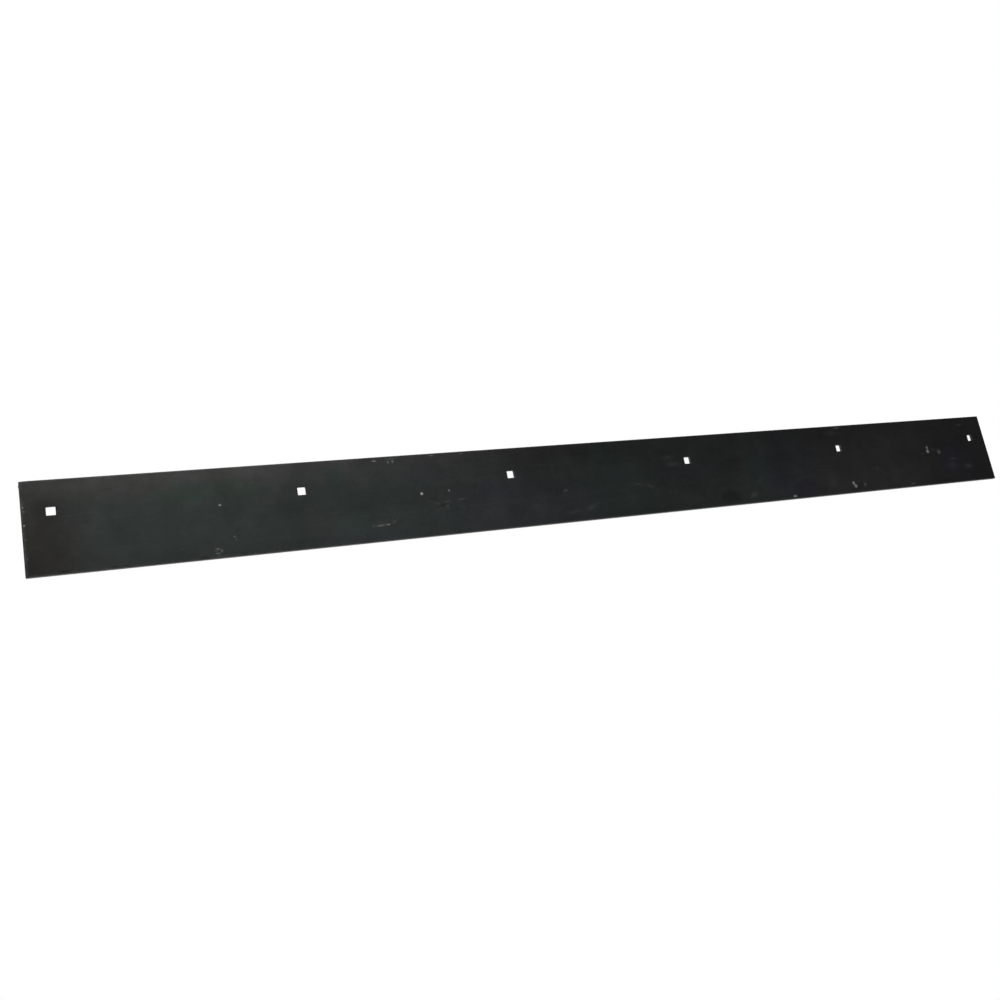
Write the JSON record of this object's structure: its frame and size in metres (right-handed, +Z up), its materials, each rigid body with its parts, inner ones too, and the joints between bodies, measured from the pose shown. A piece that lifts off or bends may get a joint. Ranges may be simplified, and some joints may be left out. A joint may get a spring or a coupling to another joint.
{
  "type": "plow wear bar",
  "caption": "Flat steel wear bar for an ATV snow plow, with a row of square holes for carriage bolts and a plain cutting edge.",
  "frame": {"origin": "middle of the bar's length and thickness, on the ground line under the cutting edge", "axes": "+X along the bar, -Y out of the front (snow) face, +Y out of the back (mounting) face, +Z up from the cutting edge to the bolt row; the bar stands upright, as it does when bolted to a plow"},
  "size_m": [1.524, 0.0048, 0.1143],
  "materials": {
    "mill_scale_steel": "hot-rolled, dark mill scale left on, satin sheen, sheared edges slightly lighter"
  },
  "bodies": {
    "root": {"wear_bar": "mill_scale_steel"}
  },
  "joints": []
}
